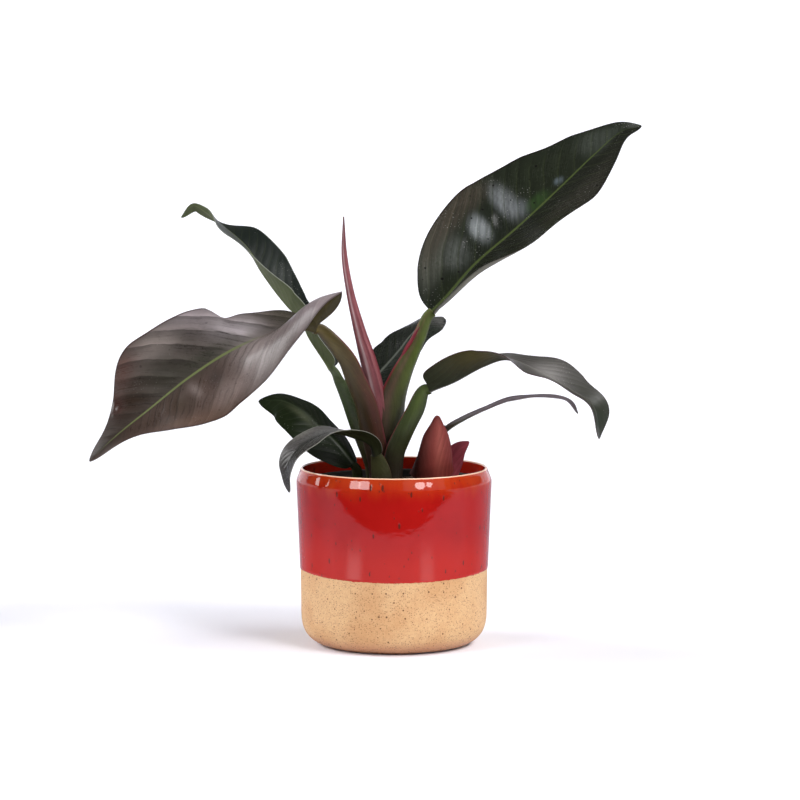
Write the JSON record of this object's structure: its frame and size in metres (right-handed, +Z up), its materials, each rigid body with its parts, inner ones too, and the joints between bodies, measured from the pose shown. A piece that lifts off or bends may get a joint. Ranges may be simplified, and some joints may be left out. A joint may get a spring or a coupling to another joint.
{
  "type": "potted philodendron",
  "caption": "Potted foliage plant with large dark green and lilac-grey leaves on sheathed stalks, standing in a straight-sided red glazed pot with a bare clay foot.",
  "frame": {"origin": "centre of the pot's flat foot, on the surface it stands on", "axes": "+Z up along the pot's axis; -Y towards the viewer of the picture; +X to that viewer's right"},
  "size_m": [0.3946, 0.1619, 0.3729],
  "materials": {
    "red_glaze": "glossy deep red glaze, orange-red towards the rim, over bare tan stoneware at the foot",
    "nursery_plastic": "black moulded plastic",
    "potting_mix": "dark crumbly potting mix",
    "stem_bark": "brown-green stem with ring scars",
    "dark_leaf": "glossy near-black green with pale side veins",
    "grey_leaf": "glossy dark green leaf with a lilac-grey sheen",
    "green_petiole": "satin green with a reddish flush",
    "brown_petiole": "satin olive-brown with red margins",
    "red_leaf": "satin red and pink rolled new leaf",
    "red_sheath": "satin brick-red sheath"
  },
  "bodies": {
    "root": {"ceramic_pot": "red_glaze", "nursery_pot": "nursery_plastic", "potting_soil": "potting_mix", "main_stem": "stem_bark", "left_stem": "stem_bark", "right_stem": "stem_bark", "tall_blade": "dark_leaf", "broad_blade": "grey_leaf", "twisted_blade": "dark_leaf", "rear_blade": "dark_leaf", "arching_blade": "grey_leaf", "slender_blade": "dark_leaf", "low_blade": "dark_leaf", "drooping_blade": "grey_leaf", "new_leaf": "red_leaf", "tall_petiole": "green_petiole", "broad_petiole": "brown_petiole", "twisted_petiole": "green_petiole", "rear_petiole": "green_petiole", "arching_petiole": "green_petiole", "slender_petiole": "green_petiole", "low_petiole": "green_petiole", "drooping_petiole": "green_petiole", "front_cataphyll": "red_sheath", "rear_cataphyll": "red_sheath"}
  },
  "joints": []
}
